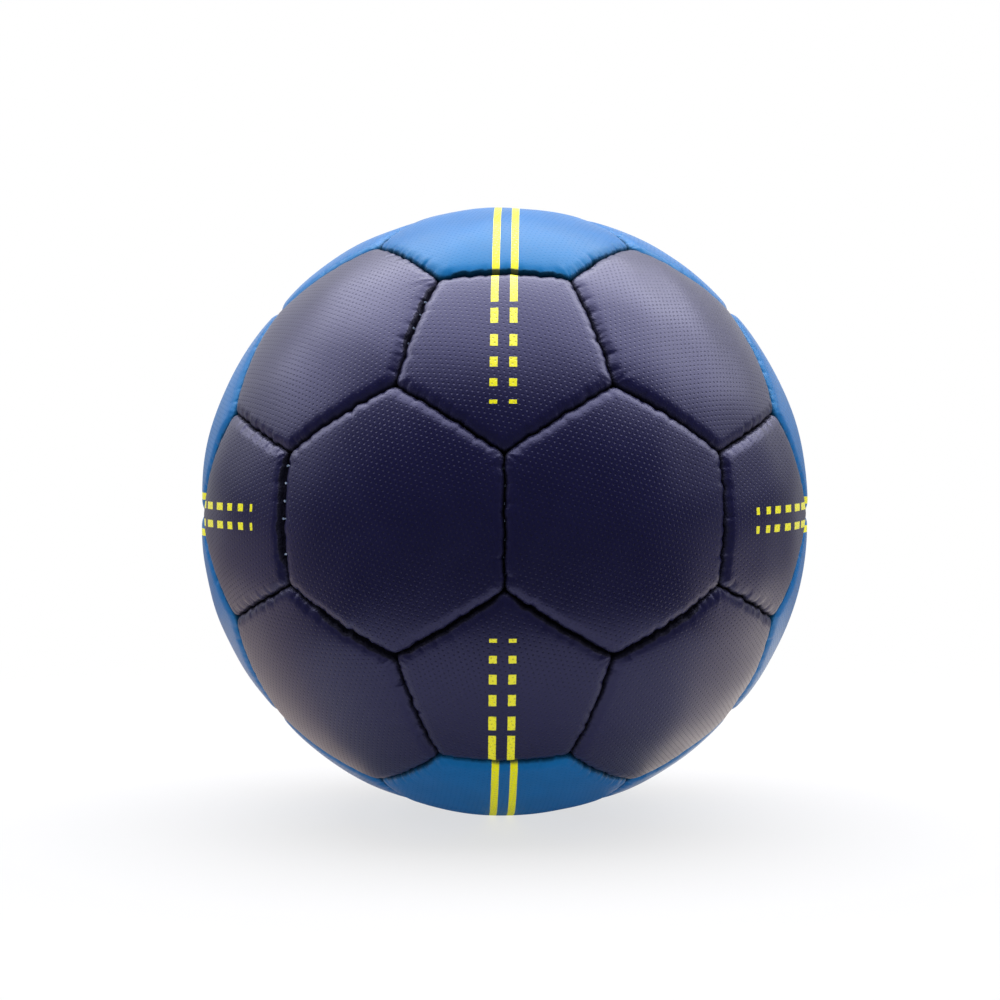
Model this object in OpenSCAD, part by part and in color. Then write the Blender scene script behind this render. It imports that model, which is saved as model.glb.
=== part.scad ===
// Handball of 32 stitched panels over an air bladder.
// The ball's centre is the origin, +Z is up and the front of the ball faces -Y.

/* [Ball] */
// Diameter over the middles of the panels
ball_d = 188; // [150:1:220]
// How far the middle of a panel stands above its seams
crown_rise = 0.6; // [0.4:0.1:1.2]

/* [Cover panels] */
// Thickness of the leather over the face of a panel
skin_t = 1.6; // [1.2:0.1:2]
// Depth below the ball's surface that the turned-in edges reach
flange_depth = 6.6; // [6.4:0.1:8]
// Thickness of a turned-in edge
flange_t = 1.3; // [1:0.1:1.6]
// Radius of the rolled edge along a seam
roll_r = 2.2; // [1.8:0.1:3]
// Gap between the turned-in edges of two neighbours
seam_gap = 0.2; // [0.1:0.05:0.4]

/* [Stitching] */
// Distance from one stitch to the next
stitch_pitch = 5.1; // [4:0.1:7]
// Least distance from a stitch to the end of its seam
corner_room = 2.4; // [2.4:0.1:4]
// Distance of the stitch holes from the cut edge of the leather
stitch_margin = 1.3; // [1.1:0.1:1.6]
// Width of the flat waxed thread
thread_w = 0.7; // [0.5:0.05:0.8]
// Clearance of the thread in its holes and beside the padding
thread_fit = 0.1; // [0.05:0.05:0.2]

/* [Padding] */
// Clearance between a padding ply and the leather over it
pad_fit = 0.1; // [0.05:0.05:0.3]

/* [Bladder] */
// Thickness of the bladder's wall
bladder_t = 1; // [0.6:0.1:1.6]
// Clearance between the bladder and what lies on it
bladder_fit = 0.2; // [0.1:0.05:0.4]

/* [Valve] */
// Radius of the valve's nose, which shows in the cover
nose_r = 2.6; // [2.2:0.1:3.2]
// How far the nose lies below the cover
nose_sink = 0.5; // [0.2:0.1:1]
// Radius of the collar that holds the core in its housing
collar_r = 4.2; // [3.8:0.1:4.8]
// Height of the collar
collar_h = 1.6; // [1:0.1:2]
// Radius of the core's stem
stem_r = 2.4; // [2:0.1:2.8]
// Radius of the hole that leads an inflating needle in
needle_r = 1.05; // [0.9:0.05:1.3]
// Length of the hole that leads the needle in
needle_lead = 6; // [4:0.5:8]
// Outer radius of the valve housing
housing_r = 6; // [5.4:0.1:7]
// How far the housing reaches into the bladder
housing_reach = 15; // [12:1:20]
// Radius of the housing's foot on the bladder
foot_r = 11; // [9:0.5:13]
// Thickness of the foot
foot_t = 1.2; // [0.8:0.1:1.6]
// Thickness of the patch under the valve hole
patch_t = 0.6; // [0.4:0.1:0.8]
// Clearance of the valve's pieces in each other
valve_fit = 0.1; // [0.05:0.05:0.2]

/* [Hidden] */
$fn = 96;
ball_r = ball_d / 2;
// One overrun serves all cuts
over = 1;
navy = [0.11, 0.11, 0.26];
sky = [0.25, 0.56, 0.86];
textile = [0.88, 0.85, 0.76];
thread_colour = [0.80, 0.79, 0.72];
latex = [0.16, 0.15, 0.15];
valve_rubber = [0.08, 0.08, 0.09];

// The 32 panels are the faces of a football-shaped solid: 20 hexagons and 12 pentagons of one edge length
phi = (1 + sqrt(5)) / 2;
signs = [-1, 1];
HEXAGONS = concat(
  [for (x = signs, y = signs) [x / phi, y * phi, 0]],
  [for (y = signs, z = signs) [0, y / phi, z * phi]],
  [for (z = signs, x = signs) [x * phi, 0, z / phi]],
  [for (x = signs, y = signs, z = signs) [x, y, z]]);
PENTAGONS = concat(
  [for (y = signs, z = signs) [0, y * phi, z]],
  [for (x = signs, y = signs) [x * phi, y, 0]],
  [for (x = signs, z = signs) [x, 0, z * phi]]);
PANELS = concat([for (c = HEXAGONS) [6, c]], [for (c = PENTAGONS) [5, c]]);

// Edge of a panel as a share of the ball's radius, and the half angle that a seam covers
edge_share = 4 / sqrt(58 + 18 * sqrt(5));
seam_half = asin(edge_share / 2);
// Angle from the middle of a panel of n sides to the middle of its seam
function seam_angle(n) =
  acos(sqrt(1 - pow(edge_share / (2 * sin(180 / n)), 2)) / cos(seam_half));

function unit(v) = v / norm(v);
function side_word(v, low, high) = v < 0 ? str("_", low) : v > 0 ? str("_", high) : "";
function panel_name(p) = str(p[0] == 6 ? "hexagon" : "pentagon",
  side_word(p[1].y, "front", "back"),
  side_word(p[1].x, "left", "right"),
  side_word(p[1].z, "bottom", "top"));
// The belt of panels round the front and back faces is light blue
function panel_colour(p) = abs(p[1].y) < 1 ? sky : navy;
function angle_between(a, b) = acos(unit(a) * unit(b));
// Two panels share a seam when their middles are as far apart as their two seam angles
function share_seam(p, q) =
  angle_between(p[1], q[1]) < seam_angle(p[0]) + seam_angle(q[0]) + 1;
function first_neighbour(p) = [for (q = PANELS) if (q != p && share_seam(p, q)) q][0];

VALVE_PANEL = [6, HEXAGONS[3]];
SEAMS = [for (i = [0:len(PANELS) - 2], j = [i + 1:len(PANELS) - 1])
  if (share_seam(PANELS[i], PANELS[j])) [PANELS[i], PANELS[j]]];
HEXAGON_SEAMS = [for (s = SEAMS) if (s[1][0] == 6) s];
PENTAGON_SEAMS = [for (s = SEAMS) if (s[1][0] == 5) s];

// A panel's crown is a ball of smaller radius, moved out by crown_shift along the panel's axis
function crown_shift(n) = let (seam_r = ball_r - crown_rise)
  (ball_r * ball_r - seam_r * seam_r) / (2 * (ball_r - seam_r * cos(seam_angle(n))));
function crown_height(angle, shift) =
  shift * cos(angle) + sqrt(pow(ball_r - shift, 2) - pow(shift * sin(angle), 2));
// Level of the crown, lowered by depth, at a distance from the panel's axis
function crown_level(n, depth, out) = let (shift = crown_shift(n))
  shift + sqrt(pow(ball_r - shift - depth, 2) - out * out);
// The rolled edge stands a little above the crown where they meet, so that they cross
roll_lift = roll_r / 20;
roll_offset = seam_gap / 2 + roll_r - roll_r / 64;
function roll_centre(n) = roll_lift - roll_r
  + crown_height(seam_angle(n) - asin(roll_offset / ball_r), crown_shift(n));

stitch_r = ball_r - flange_depth + stitch_margin;
seam_length = stitch_r * 2 * seam_half * PI / 180;
stitches = floor((seam_length - 2 * corner_room) / stitch_pitch) + 1;
stitch_step = stitch_pitch / stitch_r * 180 / PI;
stitch_hole_r = thread_w / sqrt(2) + thread_fit;
// Where stitch i lies along its seam
function stitch_angle(i) = (i - (stitches - 1) / 2) * stitch_step;
function stitch_along(i) = stitch_r * sin(stitch_angle(i));
flange_in = seam_gap / 2 + flange_t;
thread_out = flange_in + thread_fit + thread_w;
pad_side = thread_out + thread_fit;
bladder_r = ball_r - flange_depth - bladder_fit;
housing_top = crown_level(VALVE_PANEL[0], skin_t + pad_fit + patch_t, housing_r) - valve_fit;
housing_end = bladder_r - housing_reach;
core_end = housing_end + housing_r / 2;
cover_hole_r = nose_r + valve_fit;

// Puts what is made round +Z on the axis of a panel, with its first seam towards a neighbour
module on_panel(p, neighbour) {
  z = unit(p[1]);
  x = unit(neighbour[1] - (neighbour[1] * z) * z);
  y = cross(z, x);
  multmatrix([[x.x, y.x, z.x, 0], [x.y, y.y, z.y, 0], [x.z, y.z, z.z, 0], [0, 0, 0, 1]]) children();
}

// In a seam's own frame +X runs out through the middle of the seam and +Z points into the panel
module on_seam(n) {
  rotate([0, seam_angle(n) - 90, 0]) children();
}

module on_seams(n) {
  for (k = [0:n - 1]) rotate([0, 0, k * 360 / n]) on_seam(n) children();
}

// All that lies nearer to the seam's plane than inset
module beyond_seam(inset) {
  translate([0, -ball_r, inset - ball_r]) cube([2 * ball_r, 2 * ball_r, ball_r]);
}

// What has to go so that the leather rolls over into the seam
module roll_cut(n) {
  start = roll_centre(n);
  half = seam_half + seam_angle(n) / 3;
  rotate([0, 0, -half]) rotate_extrude(angle = 2 * half) difference() {
    translate([start, -over]) square([roll_r + over, roll_offset + over]);
    translate([start, roll_offset]) circle(roll_r);
  }
}

module stitch_places() {
  for (i = [0:stitches - 1]) rotate([0, 0, stitch_angle(i)]) translate([stitch_r, 0, 0]) children();
}

// A ball with its poles on the X axis, away from the panel round +Z
module ball(r) {
  rotate([0, 90, 0]) sphere(r);
}

// The ball of the crown, lowered by depth
module crown(n, depth) {
  shift = crown_shift(n);
  translate([0, 0, shift]) ball(ball_r - shift - depth);
}

module panel_shell(n) {
  difference() {
    crown(n, 0);
    ball(ball_r - flange_depth);
    translate([-ball_r, -ball_r, -3 * ball_r / 2]) cube(2 * ball_r);
    on_seams(n) union() {
      beyond_seam(seam_gap / 2);
      roll_cut(n);
    }
    difference() {
      crown(n, skin_t);
      on_seams(n) beyond_seam(flange_in);
    }
    on_seams(n) stitch_places()
      translate([0, 0, -over]) cylinder(r = stitch_hole_r, h = flange_in + 2 * over);
  }
}

module cover_panel(p) {
  color(panel_colour(p)) on_panel(p, first_neighbour(p)) {
    if (p == VALVE_PANEL) difference() {
      panel_shell(p[0]);
      translate([0, 0, ball_r / 2]) cylinder(r = cover_hole_r, h = ball_r);
    } else panel_shell(p[0]);
  }
}

module padding(p) {
  on_panel(p, first_neighbour(p)) difference() {
    crown(p[0], skin_t + pad_fit);
    ball(ball_r - flange_depth);
    translate([-ball_r, -ball_r, -3 * ball_r / 2]) cube(2 * ball_r);
    on_seams(p[0]) beyond_seam(pad_side);
    if (p == VALVE_PANEL) translate([0, 0, ball_r / 2]) cylinder(r = foot_r + valve_fit, h = ball_r);
  }
}

module hexagon_padding() {
  color(textile) for (c = HEXAGONS) padding([6, c]);
}

module pentagon_padding() {
  color(textile) for (c = PENTAGONS) padding([5, c]);
}

// One flat thread laces a seam: it goes through each pair of holes and along one edge to the next pair
module seam_thread(seam) {
  run_at = thread_out - thread_w / 2;
  on_panel(seam[0], seam[1]) on_seam(seam[0][0]) intersection() {
    rotate([90, 0, 90]) linear_extrude(ball_r) {
      for (i = [0:stitches - 1]) translate([stitch_along(i) - thread_w / 2, -thread_out])
        square([thread_w, 2 * thread_out]);
      for (i = [0:stitches - 2]) translate([stitch_along(i), (i % 2 == 0 ? run_at : -run_at) - thread_w / 2])
        square([stitch_along(i + 1) - stitch_along(i), thread_w]);
    }
    difference() {
      cylinder(r = stitch_r + thread_w / 2, h = 4 * thread_out, center = true);
      cylinder(r = stitch_r - thread_w / 2, h = 5 * thread_out, center = true);
    }
  }
}

module hexagon_seam_thread() {
  color(thread_colour) for (s = HEXAGON_SEAMS) seam_thread(s);
}

module pentagon_seam_thread() {
  color(thread_colour) for (s = PENTAGON_SEAMS) seam_thread(s);
}

module bladder() {
  color(latex) difference() {
    sphere(bladder_r);
    sphere(bladder_r - bladder_t);
    on_panel(VALVE_PANEL, first_neighbour(VALVE_PANEL)) cylinder(r = housing_r + valve_fit, h = ball_r);
  }
}

module valve_housing() {
  color(valve_rubber) on_panel(VALVE_PANEL, first_neighbour(VALVE_PANEL)) difference() {
    union() {
      difference() {
        translate([0, 0, bladder_r - foot_r]) cylinder(r = foot_r, h = foot_t + foot_r);
        sphere(bladder_r + valve_fit);
      }
      translate([0, 0, housing_end]) cylinder(r = housing_r, h = housing_top - housing_end);
    }
    translate([0, 0, core_end - valve_fit]) cylinder(r = stem_r + valve_fit, h = ball_r);
    translate([0, 0, housing_top - collar_h - valve_fit]) cylinder(r = collar_r + valve_fit, h = ball_r);
  }
}

module valve_core() {
  color(valve_rubber) on_panel(VALVE_PANEL, first_neighbour(VALVE_PANEL)) difference() {
    rotate_extrude() polygon([
      [0, core_end], [stem_r, core_end], [stem_r, housing_top - collar_h], [collar_r, housing_top - collar_h],
      [collar_r, housing_top], [nose_r, housing_top], [nose_r, ball_r - nose_sink], [0, ball_r - nose_sink]]);
    translate([0, 0, ball_r - nose_sink - needle_lead]) cylinder(r = needle_r, h = needle_lead + over);
  }
}

module valve_patch() {
  color(textile) on_panel(VALVE_PANEL, first_neighbour(VALVE_PANEL)) difference() {
    intersection() {
      crown(VALVE_PANEL[0], skin_t + pad_fit);
      cylinder(r = foot_r, h = ball_r);
    }
    crown(VALVE_PANEL[0], skin_t + pad_fit + patch_t);
    cylinder(r = cover_hole_r, h = ball_r);
  }
}

for (p = PANELS) cover_panel(p);
hexagon_padding();
pentagon_padding();
hexagon_seam_thread();
pentagon_seam_thread();
bladder();
valve_housing();
valve_core();
valve_patch();
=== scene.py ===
# %% [markdown]
# A handball is 32 leather panels, laced together inside out and turned, over cloth padding and a
# rubber bladder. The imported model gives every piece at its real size. This lesson dresses it: each
# panel is modelled again as a pulled, puckered leather shell, the seams get their waxed lacing, and
# every surface gets a finish made from nodes. All lengths are in metres, and the ball's centre is
# the origin, with +Z up and the front of the ball facing -Y.

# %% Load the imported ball
import math

import bpy
import numpy as np
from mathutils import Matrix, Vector


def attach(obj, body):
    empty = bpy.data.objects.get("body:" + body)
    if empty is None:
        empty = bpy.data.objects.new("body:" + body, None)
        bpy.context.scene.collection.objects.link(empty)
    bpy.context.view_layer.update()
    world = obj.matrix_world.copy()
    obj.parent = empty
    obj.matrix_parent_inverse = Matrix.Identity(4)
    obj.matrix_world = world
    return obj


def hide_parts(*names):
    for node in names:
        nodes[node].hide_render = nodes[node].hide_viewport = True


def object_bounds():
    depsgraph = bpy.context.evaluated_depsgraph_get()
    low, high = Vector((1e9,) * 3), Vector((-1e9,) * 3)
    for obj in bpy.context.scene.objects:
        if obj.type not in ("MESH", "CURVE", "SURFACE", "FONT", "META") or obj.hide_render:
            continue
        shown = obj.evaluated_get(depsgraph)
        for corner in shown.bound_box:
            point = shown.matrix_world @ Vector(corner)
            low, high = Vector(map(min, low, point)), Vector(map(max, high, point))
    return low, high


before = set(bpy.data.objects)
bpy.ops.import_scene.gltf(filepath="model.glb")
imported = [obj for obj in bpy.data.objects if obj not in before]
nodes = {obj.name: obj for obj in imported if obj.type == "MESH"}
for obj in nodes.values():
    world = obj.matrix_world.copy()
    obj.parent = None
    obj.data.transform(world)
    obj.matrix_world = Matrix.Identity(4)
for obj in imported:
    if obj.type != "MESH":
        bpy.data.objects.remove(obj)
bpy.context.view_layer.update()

mm = 0.001
print(len(nodes), "nodes in the frame")

# %% [markdown]
# The sizes that the leather has to keep are read from the frame, not typed in again: how far a
# panel reaches out at its middle and in at the tip of its turned-in edge. Distances from the ball's
# centre are all that is needed, because every seam lies on a great circle.

# %% Measure the ball in the frame
def reach(node):
    """Least and greatest distance of a node's corners from the ball's centre."""
    far = [v.co.length for v in nodes[node].data.vertices]
    return min(far), max(far)


tip_r, ball_r = reach("hexagon_front_left")
thread_low, thread_high = reach("hexagon_seam_thread")
thread_r = (thread_low + thread_high) / 2
print(f"ball {2000 * ball_r:.1f} mm across, edges turned in by {1000 * (ball_r - tip_r):.1f} mm")

# %% [markdown]
# The panels are the 20 hexagons and 12 pentagons of a football-shaped solid. Their middles follow
# from the golden ratio, so no table of corners is needed. A panel's name says where it is, and that
# name is also its node's name in the frame.

# %% Place the 32 panels
phi = (1 + math.sqrt(5)) / 2
signs = (-1, 1)
hexagon_middles = (
    [(x / phi, y * phi, 0) for x in signs for y in signs]
    + [(0, y / phi, z * phi) for y in signs for z in signs]
    + [(x * phi, 0, z / phi) for z in signs for x in signs]
    + [(x, y, z) for x in signs for y in signs for z in signs])
pentagon_middles = (
    [(0, y * phi, z) for y in signs for z in signs]
    + [(x * phi, y, 0) for x in signs for y in signs]
    + [(x, 0, z * phi) for x in signs for z in signs])


def unit(v):
    return np.asarray(v, float) / np.linalg.norm(v, axis=-1, keepdims=True)


def side_word(value, low, high):
    return "" if value == 0 else "_" + (low if value < 0 else high)


class Panel:
    """One panel: its number of sides, its middle and, later, its seams."""

    def __init__(self, sides, middle):
        x, y, z = middle
        self.sides = sides
        self.axis = unit(middle)
        self.light = abs(y) < 1
        self.name = (("hexagon" if sides == 6 else "pentagon") + side_word(y, "front", "back")
                     + side_word(x, "left", "right") + side_word(z, "bottom", "top"))
        self.edges = []


panels = [Panel(6, m) for m in hexagon_middles] + [Panel(5, m) for m in pentagon_middles]
by_name = {p.name: p for p in panels}
print(sum(p.light for p in panels), "light panels,", sum(not p.light for p in panels), "dark ones")

# %% Measure the seams' angles
edge_share = 4 / math.sqrt(58 + 18 * math.sqrt(5))
seam_half = math.asin(edge_share / 2)


def seam_angle(sides):
    """Angle from the middle of a panel to the middle of its seam."""
    corner = edge_share / (2 * math.sin(math.pi / sides))
    return math.acos(math.sqrt(1 - corner ** 2) / math.cos(seam_half))


seam_length = 2 * seam_half * ball_r
print(f"a seam is {1000 * seam_length:.1f} mm long")

# %% [markdown]
# No two hand-made seams are alike. Each seam gets its own small numbers from a seeded generator: a
# slow wander of the line where the two edges meet, how hard each stitch pulls, and fine nicks. Both
# panels at a seam read the same numbers, so their edges follow one line and never cross. In seven
# seams in the front one panel stands back a little, so the seam gapes between its stitches, as it
# does on the photographed ball. In two of them the thread shows.

# %% Describe the seams
stitch_pitch = 5.1 * mm
stitches = 7
stitch_places = (np.arange(stitches) - (stitches - 1) / 2) * stitch_pitch
tuck_width, jog_width = 0.65 * mm, 1.3 * mm
gape_rises, gape_falls = 6 * mm, 3 * mm
lip_reach, notch_reach, notch_share = 5 * mm, 1.2 * mm, 0.45
ends_start, ends_stop = 0.6, 0.98
seam_seed = 100
open_seams = {
    # The panel that stands back, its neighbour, how far back, the thread's rise, and from where to
    # where upwards, all in millimetres
    ("pentagon_front_left", "hexagon_front_left"): (1.9, 2.3, -14, 20.5),
    ("hexagon_front_left_top", "pentagon_front_top"): (0.7, 2.3, -9, 17),
    ("hexagon_front_left_bottom", "hexagon_front_left"): (0.9, 0, -22, 9),
    ("hexagon_front_right_bottom", "hexagon_front_right"): (0.9, 0, -22, 11),
    ("pentagon_front_bottom", "hexagon_front_left"): (0.5, 0, -19, 18),
    ("pentagon_front_bottom", "hexagon_front_right"): (0.5, 0, -19, 18),
    ("hexagon_front_top", "pentagon_front_top"): (0.5, 0, -19, 18),
}


def smooth_step(low, high, x):
    t = np.clip((x - low) / (high - low), 0, 1)
    return t * t * (3 - 2 * t)


class Seam:
    """The line where two panels meet. Along it, zero is the seam's middle."""

    def __init__(self, first, second, seed):
        rng = np.random.default_rng(seed)
        self.first, self.second = first, second
        self.along = unit(np.cross(first.axis, second.axis))
        self.wander = rng.uniform(0.05, 0.16, 3) * mm
        self.wander_waves = math.tau / (np.array([13.0, 7.0, 4.1]) * mm)
        self.wander_phases = rng.uniform(0, math.tau, 3)
        self.pulls = rng.uniform(0.3, 1.1, stitches)
        self.shifts = rng.uniform(-0.5, 0.5, stitches) * mm
        self.nick_waves = math.tau / (rng.uniform(1.0, 2.6, 4) * mm)
        self.nick_phases = rng.uniform(0, math.tau, 4)
        self.slack = rng.uniform(0.12, 0.22) * mm
        self.jogs = rng.uniform(-0.2, 0.2, stitches) * mm
        self.gap = None

    def ends(self, s):
        """1 along the seam, falling to 0 at its two corners."""
        return 1 - smooth_step(ends_start, ends_stop, np.abs(s) / (seam_length / 2))

    def at_stitches(self, s, sizes, width):
        """A bump of its own size at each stitch."""
        return sum(size * np.exp(-((s - at - shift) / width) ** 2)
                   for size, at, shift in zip(sizes, stitch_places, self.shifts))

    def line(self, s):
        """How far the seam's line wanders from its plane."""
        waves = [a * np.sin(k * s + p) for a, k, p in
                 zip(self.wander, self.wander_waves, self.wander_phases)]
        return self.ends(s) * (sum(waves) + self.at_stitches(s, self.jogs, jog_width))

    def pull(self, s):
        """About 1 where a stitch pulls the edge in, 0 between two stitches."""
        return self.at_stitches(s, self.pulls, tuck_width)

    def gape(self, s, side=None):
        """0 where the seam is closed, 1 where it gapes, for either side or for the one given."""
        if not self.gap or side == -self.gap[0]:
            return 0 * s
        start, stop = self.gap[3:]
        closing = smooth_step(stop - gape_falls, stop, s)
        return smooth_step(start, start + gape_rises, s) * (1 - closing)

    def lip(self, s, side, far):
        """How far the edge on one side stands back from the seam, most of all between stitches. It
        evens out away from the edge."""
        if not self.gap:
            return 0 * s
        far = np.clip(far, 0, None)
        notch = notch_share * np.clip(self.pull(s), 0, 1) * np.exp(-far / notch_reach)
        return self.gap[1] * self.gape(s, side) * (np.exp(-far / lip_reach) - notch)

    def nicks(self, s):
        """Fine unevenness of the edge, from -1 to 1."""
        return sum(np.sin(k * s + p) for k, p in zip(self.nick_waves, self.nick_phases)) / 4


def neighbours(first, second):
    between = math.acos(np.clip(first.axis @ second.axis, -1, 1))
    return between < seam_angle(first.sides) + seam_angle(second.sides) + math.radians(1)


seams = []
for i, first in enumerate(panels):
    for second in panels[i + 1:]:
        if neighbours(first, second):
            seam = Seam(first, second, seed=seam_seed + len(seams))
            seams.append(seam)
            for panel, other, side in ((first, second, 1), (second, first, -1)):
                outward = unit(other.axis - other.axis @ panel.axis * panel.axis)
                angle = seam_angle(panel.sides)
                inward = math.sin(angle) * panel.axis - math.cos(angle) * outward
                panel.edges.append((inward, seam, side))
for (back, other), (width, rise, low, high) in open_seams.items():
    for seam in seams:
        if {seam.first.name, seam.second.name} == {back, other}:
            side = 1 if seam.first.name == back else -1
            up = 1 if seam.along[2] > 0 else -1
            seam.gap = (side, width * mm, rise * mm, *sorted((up * low * mm, up * high * mm)))
print(len(seams), "seams,", len(open_seams), "of them open")

# %% [markdown]
# A panel's surface is written as a height over directions from the ball's centre. Six things make
# it: the crown that the air pressure gives, a gentle fall towards the seam that ends in a tight
# fold, the tucks that the stitches pull, fine nicks of the edge, wrinkles that fan out from the
# corners, and small bumps of the padding. The distance to the nearest seam drives most of them. A
# soft minimum of the distances to all sides rounds the corners, as thick leather does.

# %% Write the surface of a panel
crown_rise = 0.5 * mm
fall_w, fall_depth, fall_power = 3.3 * mm, 1.0 * mm, 1.8
fold_r = 0.9 * mm
corner_softness = 0.7 * mm
skin_t = 1.6 * mm
flange_t = 1.3 * mm
sag_reach = 2.5 * mm
tuck_depth, tuck_reach = 0.65 * mm, 1.2 * mm
nick_depth, nick_reach = 0.14 * mm, 0.8 * mm
lump_height, lump_waves, lump_seed = 0.07 * mm, 5, 500
wrinkle_reach, wrinkle_seed = 5.5 * mm, 900


def crown(panel, lean):
    """Distance of the crown from the ball's centre at an angle from the panel's axis."""
    low = ball_r - crown_rise
    shift = (ball_r ** 2 - low ** 2) / (2 * (ball_r - low * math.cos(seam_angle(panel.sides))))
    return shift * np.cos(lean) + np.sqrt((ball_r - shift) ** 2 - (shift * np.sin(lean)) ** 2)


def seam_middle(inward, seam):
    """Direction of the middle of a seam, from the side of the panel that inward points into."""
    middle = np.cross(inward, seam.along)
    return unit(middle * np.sign(middle @ seam.first.axis))


def to_seams(panel, u, lips=True):
    """For directions u: distance from each side, and the place along that side's seam."""
    far, places = [], []
    for inward, seam, side in panel.edges:
        s = ball_r * np.arcsin(u @ seam.along)
        off = ball_r * np.arcsin(u @ inward) - side * seam.line(s) - seam.slack * seam.ends(s)
        far.append(off - seam.lip(s, side, off) if lips else off)
        places.append(s)
    return np.stack(far), np.stack(places)


def edge_distance(panel, u, lips=True):
    """Distance from the panel's rounded outline."""
    far, _ = to_seams(panel, u, lips)
    low = far.min(0)
    return low - corner_softness * np.log(np.exp(-(far - low) / corner_softness).sum(0))


def lumps(panel, u):
    """Slow unevenness of the padding under a panel."""
    rng = np.random.default_rng(lump_seed + panels.index(panel))
    height = 0
    for _ in range(lump_waves):
        wave = rng.normal(size=3)
        wave *= rng.uniform(2.5, 5.5) / np.linalg.norm(wave)
        height = height + np.sin(u @ wave * math.tau + rng.uniform(0, math.tau))
    return lump_height * height


def wrinkles(panel, u):
    """Shallow wrinkles that fan out from each corner, where the leather is gathered."""
    rng = np.random.default_rng(wrinkle_seed + panels.index(panel))
    height = 0
    for inward, seam, side in panel.edges:
        corner = math.cos(seam_half) * seam_middle(inward, seam) + math.sin(seam_half) * seam.along
        corner = unit(corner)
        towards = unit(panel.axis - panel.axis @ corner * corner)
        x, y = u @ towards, u @ np.cross(corner, towards)
        far = ball_r * np.hypot(x, y)
        fan = np.sin(rng.uniform(7, 11) * np.arctan2(y, x) + rng.uniform(0, math.tau))
        near = np.exp(-(far / wrinkle_reach) ** 2) * (u @ corner > 0)
        height = height + rng.uniform(0.03, 0.08) * mm * fan * near
    return height


def at_edges(panel, u):
    """The pull, the nicks and the gape of the nearest seam, blended at the corners."""
    far, places = to_seams(panel, u)
    share = np.exp(-(far - far.min(0)) / corner_softness)
    share = share / share.sum(0)
    return [sum(values) for values in zip(*(
        (w * seam.pull(s), w * seam.nicks(s), w * seam.gape(s, side))
        for w, s, (_, seam, side) in zip(share, places, panel.edges)))]


def height(panel, u, edge):
    """Distance of the leather's face from the ball's centre."""
    lean = np.arccos(np.clip(u @ panel.axis, -1, 1))
    pull, nicks, gape = at_edges(panel, u)
    fall = fall_depth * (1 - 0.7 * gape) * np.clip(1 - edge / fall_w, 0, 1) ** fall_power
    left = np.clip(fold_r - edge, 0, fold_r)
    fold = fold_r - np.sqrt(fold_r ** 2 - left ** 2)
    sag = (0.3 + 0.2 * gape) * mm * np.exp(-edge / sag_reach)
    tuck = tuck_depth * pull * np.exp(-edge / tuck_reach)
    rough = nick_depth * nicks * np.exp(-edge / nick_reach)
    worked = crown(panel, lean) - fall - fold - sag - tuck - rough
    return worked + lumps(panel, u) + wrinkles(panel, u)


def top_of(panel):
    u = panel.axis[None]
    return height(panel, u, edge_distance(panel, u))[0]


top = top_of(by_name["hexagon_front_left"])
print(f"the middle of a panel stands at {1000 * top:.2f} mm")

# %% [markdown]
# The shell is built as rings round the panel's axis, from its middle out over the rolled edge, down
# the turned-in edge, round its tip and back up under the leather. Rings near the seam have four
# times as many points as those at the middle, because the tucks are there. A ring with half the
# points of its neighbour is joined by three triangles for each pair of points, which leaves no
# hole. A grid of squares would waste its points on the calm middle.

# %% Lay rings over a panel
fine_per_side = 104
middle_rings, slope_rings, fold_rings, tip_rings, under_rings = 18, 9, 8, 5, 8
calm_edge, slope_power = 6.0 * mm, 1.3
slope_shares = 1 - np.arange(1, slope_rings + 1) / slope_rings
slope_edges = fold_r + (calm_edge - fold_r) * slope_shares ** slope_power
fold_edges = fold_r * (1 - np.sin(np.linspace(0, math.pi / 2, fold_rings + 1)[1:]))
first_steps, later_steps, step_share = 14, 5, 0.9


def panel_frame(panel):
    """Two directions square to the panel's axis, the first towards its first seam."""
    _, seam, side = panel.edges[0]
    other = seam.second if side == 1 else seam.first
    x = unit(other.axis - other.axis @ panel.axis * panel.axis)
    return x, np.cross(panel.axis, x)


def bearings(panel, per_side):
    """Bearings round the axis, evenly spaced along each side."""
    share = (np.arange(per_side) / per_side) * 2 - 1
    within = np.arctan(share * math.tan(math.pi / panel.sides))
    turns = np.arange(panel.sides) * math.tau / panel.sides
    return (turns[:, None] + within).ravel()


def directions(panel, lean, bearing):
    x, y = panel_frame(panel)
    flat = np.cos(bearing)[..., None] * x + np.sin(bearing)[..., None] * y
    return np.cos(lean)[..., None] * panel.axis + np.sin(lean)[..., None] * flat


def lean_at(panel, bearing, edge, lips=True, start=None):
    """The lean from the axis at which each bearing is this far from the outline. A good start saves
    most of the steps."""
    lean = np.full(bearing.shape, seam_angle(panel.sides)) if start is None else start
    for _ in range(first_steps if start is None else later_steps):
        off = edge_distance(panel, directions(panel, lean, bearing), lips) - edge
        lean = lean + step_share * off / ball_r
    return lean


print(fine_per_side * 6, "points round the edge of a hexagon")


# %% Build a panel's shell
coarse_share = 0.55
under_gap, corner_drop = 0.8 * mm, 0.3 * mm
# What the points past the outline store as their distance from it
past_tip, past_all = -2 * mm, -3 * mm
# Steps out from the valve's hole and down into it, in millimetres
hole_rim = ((0, 0.6), (0.1, 0.3), (0.3, 0.1), (0.6, 0))
# Steps of the turned-in edge: shares of the way down, and of the way from the lip to the outline
wall_steps = ((0.12, 0), (0.35, 0.9), (0.6, 1), (1, 1))


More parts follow.
